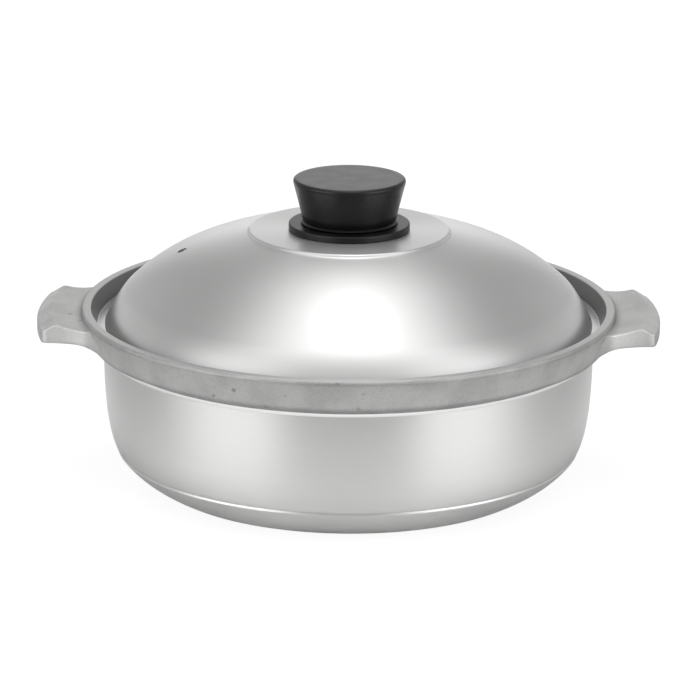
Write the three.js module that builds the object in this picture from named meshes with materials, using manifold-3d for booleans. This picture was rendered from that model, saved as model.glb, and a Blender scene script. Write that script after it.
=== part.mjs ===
// Cast aluminium cooking pot with two cast ears and a loose domed lid.
// Millimetres, +Z up. The origin is on the table under the middle of the pot, and the ears lie along X.
import * as THREE from 'three';
import { mergeVertices } from 'three/addons/utils/BufferGeometryUtils.js';
import Module from 'manifold-3d';

// Pot: the mouth and the height come first, and the rest is measured from them
const mouthRadius = 130;
const potHeight = 88.6;
const rimWidth = 4.85;
const rimRound = 2.1;
const ledgeDepth = 8.6;
const collarDraft = 3;
const collarBelowLedge = 8;
const collarOverhang = 6.2;
const collarFillet = 4;
const edgeRound = 0.7;
const wallThickness = 3.7;
const floorExtra = 1.3;
const bandHeight = 15.4;
const bandInset = 6.7;
const footInset = 19.1;
const grooveWidth = 1.2;
const grooveDepth = 0.8;

// How the bowl's two curves bend, as shares of each curve's own run and rise
const footCurveShares = [0.65, 0.41];
const wallCurveShares = [[0.62, 0.16], [0.97, 0.42]];

// Ears, cast with the collar: they reach out from the rim, and their drops go down from its top
const earOverhang = 22.15;
const earHalfWidth = 36.7;
const earFlare = 14.3;
const earRootDepth = 3.5;
const earSideFlat = 1.65;
const earCornerRound = 4;
const earRidgeInset = 6.5;
const earRidgeDrop = 0.9;
const earWaistOffset = 2.15;
const earWaistDrop = 3.2;
const earTipDrop = 4.3;
const earTipThickness = 6.6;
const earEdgeRound = 1.2;
const earEmbed = 3;
const earUndersideShare = 0.41;
const earUndersideCurveShares = [0.35, 1];
const earFlareShares = [[0.35, 0.06], [0.73, 0.3]];
const earWaistShares = [0.5, 0];

// Lid: one sheet whose edge stands on the pot's ledge
const lidPlay = 3.9;
const lidBearing = 1.6;
const sheetThickness = 1.5;
const shoulderRun = 11.1;
const shoulderRise = 17.3;
const crownRise = 29;
const panelRadius = 51.1;
const panelStep = 1.5;
const stepRun = 1.5;
const ventDiameter = 5;
const ventPlaceShare = 0.54;
const shoulderShares = [0.41, 0.25];
const crownShares = [[0.34, 0.18], [0.67, 0.35]];

// Knob and the seat ring under it
const knobFootRadius = 23.1;
const knobHeight = 22.2;
const knobFlare = 5.6;
const knobRimDrop = 2.7;
const knobTopInset = 2.5;
const knobFootRound = 0.8;
const knobCrown = 8.9;
const seatRingMargin = 7.35;
const seatRingHeight = 3.2;
const seatBossInset = 3.1;
const seatBossHeight = 0.4;

// Screw, washers and threaded insert, all on the middle line
const screwRadius = 2.5;
const headOverhang = 2.25;
const headHeight = 3.2;
const crossMargin = 2.05;
const crossWidth = 1.2;
const crossFloor = 1.4;
const insertWall = 1.7;
const insertCap = 1.5;
const insertGrooveDepth = 0.6;
const insertGrooveWidth = 1.5;
const plainWasherWidth = 5.2;
const plainWasherThickness = 1;
const springWasherWidth = 1.6;
const springWasherThickness = 1.2;
const springWasherSplit = 1;

// Clearances: between faces that rest on each other, round the screw, and in the stack of washers
const faceGap = 0.3;
const holeClearance = 0.3;
const stackGap = 0.1;

// Cutting tools reach this far past what they cut
const overrun = 2;
const weldTolerance = 1e-4;

// How finely round shapes are divided
const bigSides = 72;
const knobSides = 48;
const smallSides = 24;
const curveSteps = 6;
const fineSteps = 3;

// Radii that follow from the sizes above
const rimRadius = mouthRadius + rimWidth;
const ledgeRadius = mouthRadius - collarDraft;
const lidEdgeRadius = ledgeRadius - lidPlay;
const cavityRadius = lidEdgeRadius - sheetThickness - lidBearing;
const bellyRadius = cavityRadius + wallThickness;
const collarFootRadius = bellyRadius + collarOverhang;
const filletRadius = Math.min(collarFillet, collarOverhang - 2 * edgeRound);
const rimCurve = Math.min(rimRound, rimWidth / 2);
const bandRadius = bellyRadius - bandInset;
const footRadius = bandRadius - footInset;
const earReach = rimRadius + earOverhang;
const earUndersideRadius = collarFootRadius + (earReach - collarFootRadius) * earUndersideShare;
const shoulderRadius = lidEdgeRadius - shoulderRun;
const ventRadius = panelRadius + (shoulderRadius - panelRadius) * ventPlaceShare;
const holeRadius = screwRadius + holeClearance;
const headRadius = screwRadius + headOverhang;
const insertRadius = holeRadius + insertWall;

// Heights that follow from the sizes above
const ledgeHeight = potHeight - ledgeDepth;
const collarFoot = ledgeHeight - collarBelowLedge;
const floorThickness = wallThickness + floorExtra;
const lidEdgeHeight = ledgeHeight + faceGap;
const shoulderHeight = lidEdgeHeight + shoulderRise;
const stepFootHeight = shoulderHeight + crownRise;
const panelHeight = stepFootHeight + panelStep;
const seatRingFoot = panelHeight + faceGap;
const seatRingTop = seatRingFoot + seatRingHeight;
const knobFoot = seatRingTop + seatBossHeight + faceGap;
const knobTop = knobFoot + knobHeight;
const insertTop = knobTop - knobCrown - faceGap;
const plainWasherTop = panelHeight - sheetThickness - stackGap;
const springWasherTop = plainWasherTop - plainWasherThickness - stackGap;
const headTop = springWasherTop - springWasherThickness - stackGap;

const wasm = await Module();
wasm.setup();

// A closed mesh with only its positions, shared corners merged and collapsed triangles left out
function weld(geometry) {
  const bare = geometry.clone();
  bare.deleteAttribute('normal');
  bare.deleteAttribute('uv');
  const merged = mergeVertices(bare, weldTolerance);
  const index = merged.index.array;
  const kept = [];
  for (let i = 0; i < index.length; i += 3) {
    const [a, b, c] = [index[i], index[i + 1], index[i + 2]];
    if (a !== b && b !== c && c !== a) kept.push(a, b, c);
  }
  merged.setIndex(kept);
  return merged;
}

function toSolid(geometry) {
  const welded = weld(geometry);
  const vertProperties = new Float32Array(welded.attributes.position.array);
  const triVerts = new Uint32Array(welded.index.array);
  return new wasm.Manifold(new wasm.Mesh({ numProp: 3, vertProperties, triVerts }));
}

function toGeometry(solid) {
  const mesh = solid.getMesh();
  const geometry = new THREE.BufferGeometry();
  geometry.setAttribute('position', new THREE.BufferAttribute(new Float32Array(mesh.vertProperties), 3));
  geometry.setIndex(new THREE.BufferAttribute(new Uint32Array(mesh.triVerts), 1));
  geometry.computeVertexNormals();
  return geometry;
}

// Turns a list of [radius, height] points about the Z axis
function turned(points, sides) {
  const profile = points.map(([radius, height]) => new THREE.Vector2(radius, height));
  return new THREE.LatheGeometry(profile, sides).rotateX(Math.PI / 2);
}

// A ring: its outline closes on itself
function turnedRing(points, sides) {
  return turned([...points, points[0]], sides);
}

// A point given by its shares of the run and rise from one end to the other
function between(from, to, shares) {
  return [from[0] + (to[0] - from[0]) * shares[0], from[1] + (to[1] - from[1]) * shares[1]];
}

function quadratic(from, control, to, steps) {
  const curve = new THREE.QuadraticBezierCurve(
    new THREE.Vector2(...from), new THREE.Vector2(...control), new THREE.Vector2(...to));
  return curve.getPoints(steps).map((p) => [p.x, p.y]);
}

// A curve whose two inner controls are given by their shares of its run and rise
function cubic(from, to, controlShares, steps) {
  const [near, far] = controlShares.map((shares) => between(from, to, shares));
  const curve = new THREE.CubicBezierCurve(new THREE.Vector2(...from),
    new THREE.Vector2(...near), new THREE.Vector2(...far), new THREE.Vector2(...to));
  return curve.getPoints(steps).map((p) => [p.x, p.y]);
}

// Drops a point that repeats the one before it
function joined(...runs) {
  const all = runs.flat();
  return all.filter(([x, y], i) => i === 0 || Math.hypot(x - all[i - 1][0], y - all[i - 1][1]) > weldTolerance);
}

// The same line moved sideways by a distance, to the left of its direction, with mitred corners
function offsetLine(points, distance) {
  const normals = points.slice(1).map(([x, y], i) => {
    const run = [x - points[i][0], y - points[i][1]];
    const length = Math.hypot(...run);
    return [-run[1] / length, run[0] / length];
  });
  return points.map(([x, y], i) => {
    const before = normals[Math.max(i - 1, 0)];
    const after = normals[Math.min(i, normals.length - 1)];
    const reach = distance / (1 + before[0] * after[0] + before[1] * after[1]);
    return [x + (before[0] + after[0]) * reach, y + (before[1] + after[1]) * reach];
  });
}

// Where a line passes a value of its radius (0) or its height (1), with the points on either side
function crossing(line, coordinate, value) {
  const rising = line[0][coordinate] < value;
  const next = line.findIndex((point) => (point[coordinate] > value) === rising);
  const [before, after] = [line[next - 1], line[next]];
  const share = (value - before[coordinate]) / (after[coordinate] - before[coordinate]);
  return { point: between(before, after, [share, share]), before, after, next };
}

// Outside of the bowl, from the edge of its flat base up to the line turned round its foot
function footCurve() {
  const foot = [footRadius, 0];
  const top = [bandRadius, bandHeight];
  return quadratic(foot, between(foot, top, footCurveShares), top, curveSteps);
}

// Outside of the bowl, from the turned line up to the fillet under the collar
function wallCurve() {
  const foot = [bandRadius + grooveWidth / 3, bandHeight + grooveWidth];
  return cubic(foot, [bellyRadius, collarFoot - filletRadius], wallCurveShares, curveSteps);
}

// Outside of the pot, from the middle of the base up to the rim's inner edge
function potOutside() {
  const wall = wallCurve();
  return joined(
    [[0, 0]],
    footCurve(),
    [[bandRadius - grooveDepth, bandHeight + grooveWidth / 2]],
    wall,
    quadratic(wall.at(-1), [bellyRadius, collarFoot], [bellyRadius + filletRadius, collarFoot], fineSteps),
    [[collarFootRadius - edgeRound, collarFoot], [collarFootRadius + edgeRound / 3, collarFoot + edgeRound]],
    quadratic([rimRadius, potHeight - rimCurve], [rimRadius, potHeight], [rimRadius - rimCurve, potHeight],
      fineSteps),
    [[mouthRadius + edgeRound, potHeight]],
  );
}

// Inside of the pot, from the rim's inner edge down over the lid's ledge to the middle of the floor
function potInside() {
  const bowl = offsetLine([...footCurve(), ...wallCurve()], wallThickness);
  const floorEdge = crossing(bowl, 1, floorThickness);
  return joined(
    [[mouthRadius, potHeight - edgeRound]],
    [[ledgeRadius + edgeRound / 3, ledgeHeight + edgeRound], [ledgeRadius - edgeRound, ledgeHeight]],
    [[cavityRadius + edgeRound, ledgeHeight], [cavityRadius, ledgeHeight - edgeRound]],
    bowl.slice(floorEdge.next).reverse(),
    [floorEdge.point, [0, floorThickness]],
  );
}

// Section of an ear, as a ring round the whole pot: underside, tip, ridge, waist, then back inside the collar
function earSection() {
  const collarEdge = [collarFootRadius, collarFoot + edgeRound];
  const tipTop = potHeight - earTipDrop;
  const tipFoot = tipTop - earTipThickness;
  const underside = [earUndersideRadius, tipFoot];
  const ridge = [earReach - earRidgeInset, potHeight - earRidgeDrop];
  const waist = [rimRadius + earWaistOffset, potHeight - earWaistDrop];
  return joined(
    [[collarFootRadius - earEmbed, collarFoot + edgeRound]],
    quadratic(collarEdge, between(collarEdge, underside, earUndersideCurveShares), underside, curveSteps),
    [[earReach - earEdgeRound, tipFoot], [earReach, tipFoot + earEdgeRound]],
    [[earReach, tipTop - earEdgeRound], [earReach - earEdgeRound, tipTop]],
    quadratic(ridge, between(waist, ridge, earWaistShares), waist, curveSteps),
    [[mouthRadius + rimWidth / 3, potHeight - earWaistDrop]],
  );
}

// Plan of one ear: the tip's corners are round, and the free sides flare out into the collar
function earPlan() {
  const cornerAngle = Math.asin((earHalfWidth - earCornerRound) / earReach);
  const tipEnd = [earReach * Math.cos(cornerAngle), earReach * Math.sin(cornerAngle)];
  const corner = [Math.sqrt(earReach ** 2 - earHalfWidth ** 2), earHalfWidth];
  const cornerFoot = [corner[0] - earCornerRound, earHalfWidth];
  const flareStart = [cornerFoot[0] - earSideFlat, earHalfWidth];
  const rootHalfWidth = earHalfWidth + earFlare;
  const root = [Math.sqrt((rimRadius - earRootDepth) ** 2 - rootHalfWidth ** 2), rootHalfWidth];
  const side = joined(
    [[earReach + overrun, tipEnd[1]]],
    quadratic(tipEnd, corner, cornerFoot, fineSteps),
    cubic(flareStart, root, earFlareShares, curveSteps),
    [[root[0] - overrun, rootHalfWidth]],
  );
  const mirrored = side.map(([x, y]) => [x, -y]).reverse();
  return new THREE.Shape([...side, ...mirrored].map(([x, y]) => new THREE.Vector2(x, y)));
}

function ears() {
  const ring = toSolid(turnedRing(earSection(), bigSides));
  const depth = potHeight - collarFoot + 2 * overrun;
  const prism = new THREE.ExtrudeGeometry(earPlan(), { depth, bevelEnabled: false });
  prism.translate(0, 0, collarFoot - overrun);
  const right = toSolid(prism);
  const left = toSolid(prism.clone().rotateZ(Math.PI));
  return ring.intersect(right.add(left));
}

function potBody() {
  return toSolid(turned(joined(potOutside(), potInside()), bigSides)).add(ears());
}

// Crown of the lid from its shoulder up to the foot of the step round the flat panel
function crownLine() {
  const stepFoot = [panelRadius, stepFootHeight];
  return cubic(stepFoot, [shoulderRadius, shoulderHeight], crownShares, curveSteps).reverse();
}

// The sheet: its underside is the top side moved in by its thickness
function lidSheet() {
  const edge = [lidEdgeRadius, lidEdgeHeight];
  const shoulder = [shoulderRadius, shoulderHeight];
  const stepTop = [panelRadius - stepRun, panelHeight];
  const hole = [holeRadius, panelHeight];
  const shoulderCurve = quadratic(edge, between(shoulder, edge, shoulderShares), shoulder, curveSteps);
  const flank = joined(shoulderCurve, crownLine());
  const step = quadratic(flank.at(-1), [panelRadius - stepRun / 2, panelHeight], stepTop, fineSteps);
  const underside = offsetLine([...flank, stepTop, hole], sheetThickness);
  return turnedRing([
    [lidEdgeRadius - sheetThickness, lidEdgeHeight],
    ...joined(flank, step),
    hole,
    ...underside.slice(1).reverse(),
  ], bigSides);
}

// A round punch square to the sheet, on the left of the lid
function ventPunch() {
  const { point, before, after } = crossing(crownLine(), 0, ventRadius);
  const tilt = Math.atan2(after[1] - before[1], before[0] - after[0]);
  const length = sheetThickness + 2 * overrun;
  const punch = new THREE.CylinderGeometry(ventDiameter / 2, ventDiameter / 2, length, smallSides);
  punch.rotateX(Math.PI / 2).translate(0, 0, -sheetThickness / 2);
  return punch.rotateY(-tilt).translate(-ventRadius, 0, point[1]);
}

function lidShell() {
  return toSolid(lidSheet()).subtract(toSolid(ventPunch()));
}

// Flat ring on the panel, with a low boss under the knob
function knobSeat() {
  const outer = knobFootRadius + seatRingMargin;
  const boss = knobFootRadius - seatBossInset;
  return toSolid(turnedRing([
    [holeRadius, seatRingFoot],
    [outer, seatRingFoot],
    [outer, seatRingTop - edgeRound],
    [outer - edgeRound, seatRingTop],
    [boss, seatRingTop],
    [boss, seatRingTop + seatBossHeight],
    [holeRadius, seatRingTop + seatBossHeight],
  ], knobSides));
}

// Tapered knob, wider at its top, with a socket for the insert
function knobGrip() {
  const corner = [knobFootRadius + knobFlare, knobTop];
  const dropShare = knobRimDrop / knobHeight;
  const rim = between(corner, [knobFootRadius, knobFoot], [dropShare, dropShare]);
  const socketRadius = insertRadius + holeClearance;
  return toSolid(turned(joined(
    [[0, insertTop + faceGap], [socketRadius, insertTop + faceGap], [socketRadius, knobFoot]],
    [[knobFootRadius - knobFootRound, knobFoot], [knobFootRadius, knobFoot + knobFootRound]],
    quadratic(rim, corner, [corner[0] - knobTopInset, knobTop], curveSteps),
    [[0, knobTop]],
  ), knobSides));
}

// Brass insert with a retaining groove round its middle and a blind hole for the screw
function knobInsert() {
  const middle = (knobFoot + insertTop) / 2;
  const waist = insertRadius - insertGrooveDepth;
  return toSolid(turned([
    [0, insertTop - insertCap],
    [holeRadius, insertTop - insertCap],
    [holeRadius, knobFoot],
    [insertRadius, knobFoot],
    [insertRadius, middle - insertGrooveWidth / 2],
    [waist, middle - insertGrooveWidth / 2],
    [waist, middle + insertGrooveWidth / 2],
    [insertRadius, middle + insertGrooveWidth / 2],
    [insertRadius, insertTop],
    [0, insertTop],
  ], smallSides));
}

// Pan-head screw with a cross recess, its head down
function knobScrew() {
  const headFoot = headTop - headHeight;
  const headSide = [headRadius, headTop - headHeight / 2];
  const tip = insertTop - insertCap - faceGap;
  const blank = toSolid(turned(joined(
    [[0, headFoot]],
    quadratic([headRadius / 2, headFoot], [headRadius, headFoot], headSide, fineSteps),
    [[headRadius, headTop], [screwRadius, headTop]],
    [[screwRadius, tip - screwRadius / 2], [screwRadius / 2, tip], [0, tip]],
  ), smallSides));
  const crossLength = 2 * (headRadius - crossMargin);
  const slot = new THREE.BoxGeometry(crossLength, crossWidth, 2 * (headHeight - crossFloor));
  slot.translate(0, 0, headFoot);
  return blank.subtract(toSolid(slot)).subtract(toSolid(slot.clone().rotateZ(Math.PI / 2)));
}

// Split ring
function springWasher() {
  const outer = holeRadius + springWasherWidth;
  const outerAngle = springWasherSplit / outer / 2;
  const innerAngle = springWasherSplit / holeRadius / 2;
  const ring = new THREE.Shape();
  ring.absarc(0, 0, outer, outerAngle, 2 * Math.PI - outerAngle, false);
  ring.absarc(0, 0, holeRadius, 2 * Math.PI - innerAngle, innerAngle, true);
  const options = { depth: springWasherThickness, bevelEnabled: false, curveSegments: smallSides };
  const washer = new THREE.ExtrudeGeometry(ring, options);
  return toSolid(washer.translate(0, 0, springWasherTop - springWasherThickness));
}

function plainWasher() {
  const outer = holeRadius + plainWasherWidth;
  const foot = plainWasherTop - plainWasherThickness;
  return toSolid(turnedRing([
    [holeRadius, foot],
    [outer, foot],
    [outer, plainWasherTop],
    [holeRadius, plainWasherTop],
  ], smallSides));
}

// Finishes
const castAluminium = { color: 0xb4b4b3, roughness: 0.5, metalness: 1 };
const spunAluminium = { color: 0xc6c6c6, roughness: 0.32, metalness: 1 };
const blackResin = { color: 0x1c1c1d, roughness: 0.4, metalness: 0 };
const brass = { color: 0xb5924a, roughness: 0.35, metalness: 1 };
const stainless = { color: 0xb9babc, roughness: 0.3, metalness: 1 };

function piece(name, solid, finish) {
  const mesh = new THREE.Mesh(toGeometry(solid), new THREE.MeshStandardMaterial(finish));
  mesh.name = name;
  return mesh;
}

const pot = new THREE.Group();
pot.add(piece('pot_body', potBody(), castAluminium));

const lid = new THREE.Group();
lid.add(
  piece('lid_shell', lidShell(), spunAluminium),
  piece('knob_seat', knobSeat(), blackResin),
  piece('knob_grip', knobGrip(), blackResin),
  piece('knob_insert', knobInsert(), brass),
  piece('knob_screw', knobScrew(), stainless),
  piece('spring_washer', springWasher(), stainless),
  piece('plain_washer', plainWasher(), stainless),
);

const cookingPot = new THREE.Group();
cookingPot.add(pot, lid);

export default cookingPot;
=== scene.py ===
"""Cast aluminium cooking pot with two cast ears and a loose domed lid, on a pale studio floor.

Outlines are drawn in millimetres as radius and height, and turned about the Z axis. The sizes that
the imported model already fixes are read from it, and the rest are fields of each sub-assembly.
"""
import logging
import math
from collections.abc import Iterable
from dataclasses import dataclass, field
from enum import Enum

import bmesh
import bpy
import numpy as np
from mathutils import Matrix, Vector
from mathutils.geometry import interpolate_bezier


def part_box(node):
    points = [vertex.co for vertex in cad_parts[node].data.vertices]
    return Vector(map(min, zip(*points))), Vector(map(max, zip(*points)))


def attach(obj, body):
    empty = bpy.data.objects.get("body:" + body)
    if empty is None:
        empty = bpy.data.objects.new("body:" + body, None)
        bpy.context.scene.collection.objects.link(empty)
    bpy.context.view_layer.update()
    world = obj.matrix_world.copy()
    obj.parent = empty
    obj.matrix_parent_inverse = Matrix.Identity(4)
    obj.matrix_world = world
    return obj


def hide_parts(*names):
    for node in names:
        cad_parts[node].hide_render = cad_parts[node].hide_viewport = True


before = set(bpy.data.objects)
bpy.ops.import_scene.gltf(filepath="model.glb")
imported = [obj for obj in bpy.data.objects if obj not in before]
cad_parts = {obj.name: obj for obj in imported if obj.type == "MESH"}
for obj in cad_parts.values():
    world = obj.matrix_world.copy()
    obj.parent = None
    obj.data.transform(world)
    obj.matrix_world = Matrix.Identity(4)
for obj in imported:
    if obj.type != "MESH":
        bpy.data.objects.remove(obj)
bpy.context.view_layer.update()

log = logging.getLogger("cooking_pot")

MM = 0.001
MERGE_MM = 0.002
DEGREES = 180 / math.pi
QUARTER_TURN = 0.25
NOISE_MIDDLE = 0.5
NOISE_RANGE = (0.3, 0.7)

Pair = tuple[float, float]
Steps = tuple[Pair, Pair]


class Body(Enum):
    """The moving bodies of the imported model."""

    POT = "pot"
    LID = "lid"


class Slot(Enum):
    """The record's material slots."""

    CAST = "cast_aluminium"
    SPUN = "spun_aluminium"
    RESIN = "black_resin"
    STEEL = "stainless_steel"


class Zone(Enum):
    """Which finish a face of the casting takes: the number is its place among the materials."""

    CAST = 0
    TURNED = 1
    INSIDE = 2
    BASE = 3
    SEAT = 4
    RIM = 5
    LEDGE = 6
    # The lower part of the fillet under the collar, painted lighter as a painted highlight.
    FILLET_HIGHLIGHT = 7


# Outlines


def millimetre_box(node: str) -> tuple[Vector, Vector]:
    """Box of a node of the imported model.

    Args:
        node: name of the node.

    Returns:
        Its lowest and highest corners, in millimetres.
    """
    low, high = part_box(node)
    return low / MM, high / MM


def between(start: Vector, end: Vector, shares: tuple[float, float]) -> Vector:
    """Point at given shares of the run and of the rise from one point to another.

    Args:
        start: where both shares are 0.
        end: where both shares are 1.
        shares: share of the run, and share of the rise.

    Returns:
        The point.
    """
    return Vector((start.x + (end.x - start.x) * shares[0], start.y + (end.y - start.y) * shares[1]))


def beside(points: list[Vector], distance: float) -> list[Vector]:
    """The same line moved to the left of its direction, with mitred corners.

    Args:
        points: the line.
        distance: how far it moves, in millimetres.

    Returns:
        The points of the moved line.
    """
    ways = [(b - a).normalized() for a, b in zip(points, points[1:])]
    normals = [Vector((-way.y, way.x)) for way in ways]
    moved = []
    for index, point in enumerate(points):
        before, after = normals[max(index - 1, 0)], normals[min(index, len(normals) - 1)]
        moved.append(point + (before + after) * (distance / (1 + before.dot(after))))
    return moved


@dataclass
class Outline:
    """A line of radius and height points in millimetres, drawn onwards from its first point."""

    points: list[Vector] = field(default_factory=list)
    guard: float = 0.18

    @property
    def end(self) -> Vector:
        """The last point drawn."""
        return self.points[-1]

    def line(self, *points: tuple[float, float] | Vector) -> "Outline":
        """Draws straight on through the points, leaving out one that repeats the last.

        Args:
            points: the points in order.

        Returns:
            The outline itself.
        """
        for point in map(Vector, points):
            if not self.points or (point - self.end).length > MERGE_MM:
                self.points.append(point)
        return self

    def divided(self, target: tuple[float, float], steps: int) -> "Outline":
        """Draws a straight line in equal steps.

        Args:
            target: where it ends.
            steps: how many.

        Returns:
            The outline itself.
        """
        start = self.end.copy()
        return self.line(*(start.lerp(Vector(target), step / steps) for step in range(1, steps + 1)))

    def cubic(self, near: Vector, far: Vector, target: Vector, steps: int) -> "Outline":
        """Draws a curve with two controls.

        Args:
            near: control next to the last point drawn.
            far: control next to the target.
            target: where it ends.
            steps: how many.

        Returns:
            The outline itself.
        """
        return self.line(*interpolate_bezier(self.end, near, far, Vector(target), steps + 1)[1:])

    def bend(self, control: Vector, target: Vector, steps: int) -> "Outline":
        """Draws a curve with one control.

        Args:
            control: the control.
            target: where it ends.
            steps: how many.

        Returns:
            The outline itself.
        """
        control, target = Vector(control), Vector(target)
        return self.cubic(self.end.lerp(control, 2 / 3), target.lerp(control, 2 / 3), target, steps)

    def corner(self, at: tuple[float, float], towards: tuple[float, float], radius: float,
               steps: int = 4) -> "Outline":
        """Draws up to a corner and round it, with a point kept close on either side.

        Args:
            at: the corner, were it sharp.
            towards: a point on the line that leaves it.
            radius: radius of the rounding.
            steps: steps round it.

        Returns:
            The outline itself.
        """
        at, towards = Vector(at), Vector(towards)
        incoming, leaving = (at - self.end).normalized(), (towards - at).normalized()
        turn = incoming.angle(leaving)
        reach, handle = radius * math.tan(turn / 2), 4 / 3 * radius * math.tan(turn / 4)
        start, finish = at - incoming * reach, at + leaving * reach
        if (start - self.end).length > 2 * self.guard:
            self.line(start - incoming * self.guard)
        self.line(start).cubic(start + incoming * handle, finish - leaving * handle, finish, steps)
        if (towards - finish).length > 2 * self.guard:
            self.line(finish + leaving * self.guard)
        return self

    def height_at(self, radius: float) -> float:
        """Height of an outline that runs outwards, at a radius.

        Args:
            radius: the radius.

        Returns:
            The height there.
        """
        return float(np.interp(radius, [p.x for p in self.points], [p.y for p in self.points]))


# Meshes


def turned(outline: Outline, steps: int, closed: bool = False, angle: float = math.tau,
           start: float = 0.0) -> bmesh.types.BMesh:
    """Turns an outline about the Z axis.

    Args:
        outline: the line to turn.
        steps: steps round the axis.
        closed: whether the last point joins the first.
        angle: how far it turns, in radians.
        start: angle at which the turn starts, in radians.

    Returns:
        The mesh, in metres, closed at the axis and with its faces outwards.
    """
    mesh = bmesh.new()
    verts = [mesh.verts.new((p.x * MM, 0, p.y * MM)) for p in outline.points]
    bmesh.ops.rotate(mesh, verts=verts, cent=(0, 0, 0), matrix=Matrix.Rotation(start, 3, "Z"))
    pairs = list(zip(verts, verts[1:])) + ([(verts[-1], verts[0])] if closed else [])
    edges = [mesh.edges.new(pair) for pair in pairs]
    whole = math.isclose(angle, math.tau)
    bmesh.ops.spin(mesh, geom=verts + edges, cent=(0, 0, 0), axis=(0, 0, 1), angle=angle, steps=steps,
                   use_merge=whole, use_duplicate=False)
    if not whole:
        bmesh.ops.holes_fill(mesh, edges=[e for e in mesh.edges if e.is_boundary], sides=0)
    tidied(mesh)
    return mesh


def tidied(mesh: bmesh.types.BMesh) -> None:
    """Merges doubles and turns every face outwards.

    Args:
        mesh: the mesh to tidy.
    """
    bmesh.ops.remove_doubles(mesh, verts=mesh.verts, dist=MERGE_MM * MM / 2)
    bmesh.ops.recalc_face_normals(mesh, faces=mesh.faces)


def finished(mesh: bmesh.types.BMesh, name: str, materials: Iterable[bpy.types.Material],
             crease: float = 38.0) -> bpy.types.Object:
    """Makes a smooth shaded object of a mesh.

    Args:
        mesh: the mesh, which is freed.
        name: name of the piece.
        materials: its materials, in the order of the faces' numbers.
        crease: edges sharper than this stay sharp, in degrees.

    Returns:
        The object, at the origin.
    """
    data = bpy.data.meshes.new(name)
    mesh.to_mesh(data)
    mesh.free()
    data.shade_smooth()
    data.set_sharp_from_angle(angle=math.radians(crease))
    for material in materials:
        data.materials.append(material)
    piece = bpy.data.objects.new(name, data)
    bpy.context.scene.collection.objects.link(piece)
    return piece


def applied(piece: bpy.types.Object) -> bpy.types.Object:
    """Makes a piece's modifiers part of its mesh.

    Args:
        piece: the piece.

    Returns:
        The same piece, with no modifiers left.
    """
    graph = bpy.context.evaluated_depsgraph_get()
    plain = piece.data
    piece.data = bpy.data.meshes.new_from_object(piece.evaluated_get(graph))
    piece.data.name = plain.name
    piece.modifiers.clear()
    bpy.data.meshes.remove(plain)
    return piece


def placed(piece: bpy.types.Object, body: Body, slot: Slot, *nodes: str) -> bpy.types.Object:
    """Sets a piece on its body in place of the model's nodes, and reports it.

    Args:
        piece: the piece.
        body: the body that it rides on.
        slot: the slot that its finish comes from; not used.
        nodes: the nodes that it replaces.

    Returns:
        The same piece.
    """
    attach(piece, body.value)
    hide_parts(*nodes)
    log.info("%s: %d faces, rides on %s, replaces %s", piece.name, len(piece.data.polygons),
             body.value, ", ".join(nodes))
    return piece


# Shader values and nodes


class Signal:
    """A number in a shader, whose arithmetic adds Math nodes."""

    def __init__(self, shade: "Shade", socket: bpy.types.NodeSocket) -> None:
        """Wraps a socket.

        Args:
            shade: the node tree that it is in.
            socket: the output that gives the number.
        """
        self.shade = shade
        self.socket = socket

    def math(self, operation: str, *values: "Signal | float") -> "Signal":
        """Adds a Math node.

        Args:
            operation: its operation.
            values: its inputs, in order.

        Returns:
            The number that comes out.
        """
        node = self.shade.node("ShaderNodeMath", {"operation": operation}, dict(enumerate(values)))
        return Signal(self.shade, node.outputs[0])

    def __add__(self, other: "Signal | float") -> "Signal":
        """Sum."""
        return self.math("ADD", self, other)

    __radd__ = __add__

    def __sub__(self, other: "Signal | float") -> "Signal":
        """Difference."""
        return self.math("SUBTRACT", self, other)

    def __rsub__(self, other: float) -> "Signal":
        """Difference from a plain number."""
        return self.math("SUBTRACT", other, self)

    def __mul__(self, other: "Signal | float") -> "Signal":
        """Product."""
        return self.math("MULTIPLY", self, other)

    __rmul__ = __mul__

    def __truediv__(self, other: "Signal | float") -> "Signal":
        """Quotient."""
        return self.math("DIVIDE", self, other)

    def __pow__(self, other: float) -> "Signal":
        """Power."""
        return self.math("POWER", self, other)

    def absolute(self) -> "Signal":
        """The number without its sign."""
        return self.math("ABSOLUTE", self)

    def bell(self, centre: float, width: "Signal | float") -> "Signal":
        """A smooth hump that is 1 at its centre.

        Args:
            centre: where it is highest.
            width: distance at which it has fallen to about a third.

        Returns:
            The hump, from 0 to 1.
        """
        share = (self - centre) / width
        return self.math("EXPONENT", -1 * (share * share))

    def ramp(self, low: float, high: float) -> "Signal":
        """A smooth step.

        Args:
            low: where it starts from 0.
            high: where it reaches 1. It may be the smaller of the two.

        Returns:
            The step, from 0 to 1.
        """
        small, large = sorted((low, high))
        node = self.shade.node("ShaderNodeMapRange", {"interpolation_type": "SMOOTHSTEP"},
                               {"Value": self, "From Min": small, "From Max": large})
        step = Signal(self.shade, node.outputs["Result"])
        return step if low < high else 1 - step

    def window(self, rise: Pair, fall: Pair) -> "Signal":
        """A smooth step up times a smooth step down."""
        return self.ramp(*rise) * self.ramp(*fall)

    def spread(self) -> "Signal":
        """Noise stretched to run from 0 to 1."""
        return self.ramp(*NOISE_RANGE)

    def swing(self) -> "Signal":
        """Noise moved to swing about 0."""
        return self - NOISE_MIDDLE


def weighed(signals: Iterable[Signal], weights: Iterable[float]) -> Signal:
    """Sum of numbers, each times its weight."""
    first, *others = [signal * weight for signal, weight in zip(signals, weights)]
    return sum(others, first)


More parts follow.
